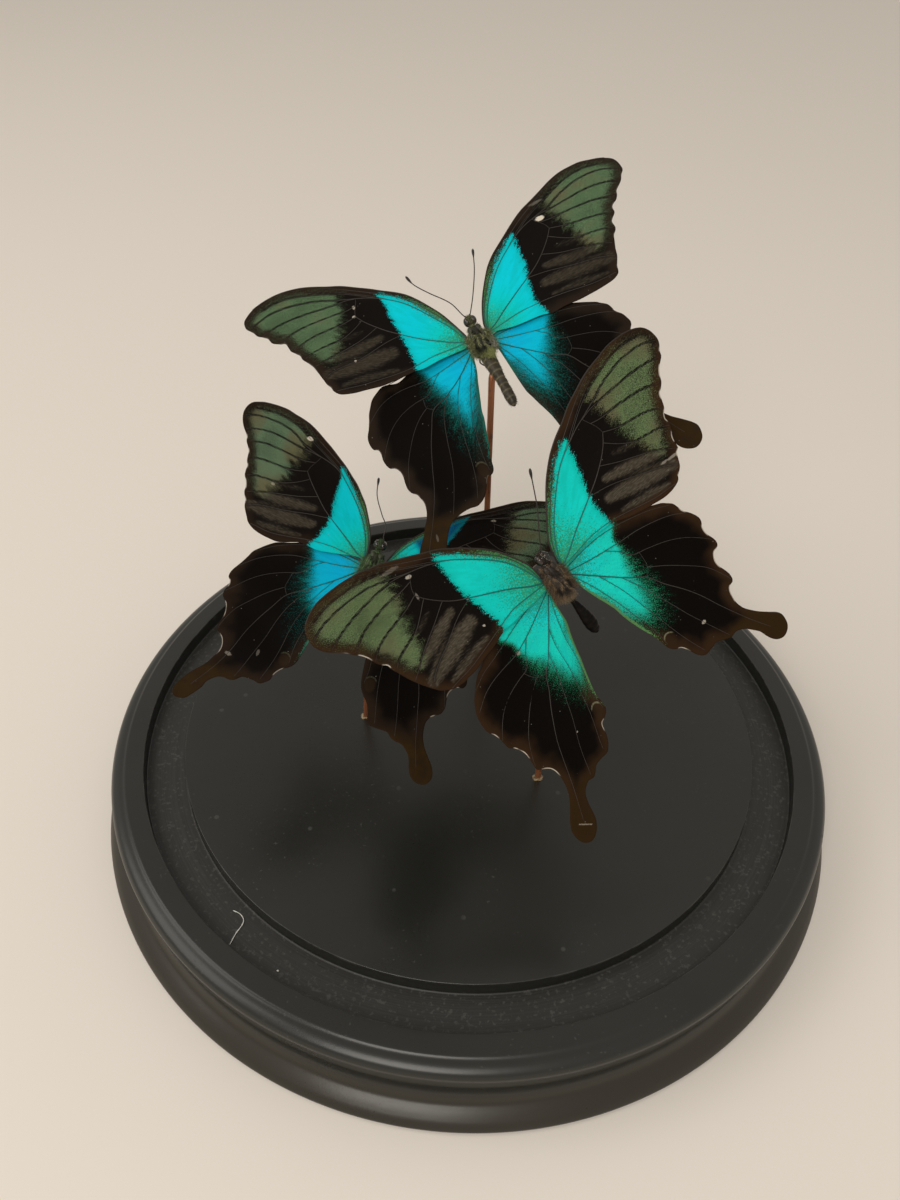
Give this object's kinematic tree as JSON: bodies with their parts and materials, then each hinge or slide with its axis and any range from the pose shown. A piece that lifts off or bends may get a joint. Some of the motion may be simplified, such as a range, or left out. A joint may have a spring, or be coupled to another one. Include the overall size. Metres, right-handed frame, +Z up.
{
  "type": "mounted butterfly group on a display base",
  "caption": "Swallowtail butterflies with spread wings, pinned on thin upright rods above a round black moulded base with a seat groove for a glass dome.",
  "frame": {"origin": "centre of the base's underside", "axes": "+Z up, -Y towards the front, where the lowest-hanging wings and the nearest butterfly are, +X to the right as seen from the front"},
  "size_m": [0.207, 0.207, 0.155],
  "materials": {
    "base": "black satin lacquer",
    "rod": "copper-coated wire, slightly dull",
    "body": "dry, hairy chitin",
    "forewing": "scaled wing membrane, blue-green and black",
    "hindwing": "scaled wing membrane, black-brown and blue-green",
    "antenna": "dry chitin, dark"
  },
  "bodies": {
    "root": {"base": "base", "rod_top": "rod", "rod_right": "rod", "rod_left": "rod", "body_top": "body", "body_right": "body", "body_left": "body", "forewing_left_top": "forewing", "forewing_right_top": "forewing", "hindwing_left_top": "hindwing", "hindwing_right_top": "hindwing", "forewing_left_right": "forewing", "forewing_right_right": "forewing", "hindwing_left_right": "hindwing", "hindwing_right_right": "hindwing", "forewing_left_left": "forewing", "forewing_right_left": "forewing", "hindwing_left_left": "hindwing", "hindwing_right_left": "hindwing", "antenna_left_top": "antenna", "antenna_right_top": "antenna", "antenna_right_right": "antenna", "antenna_left_left": "antenna"}
  },
  "joints": []
}
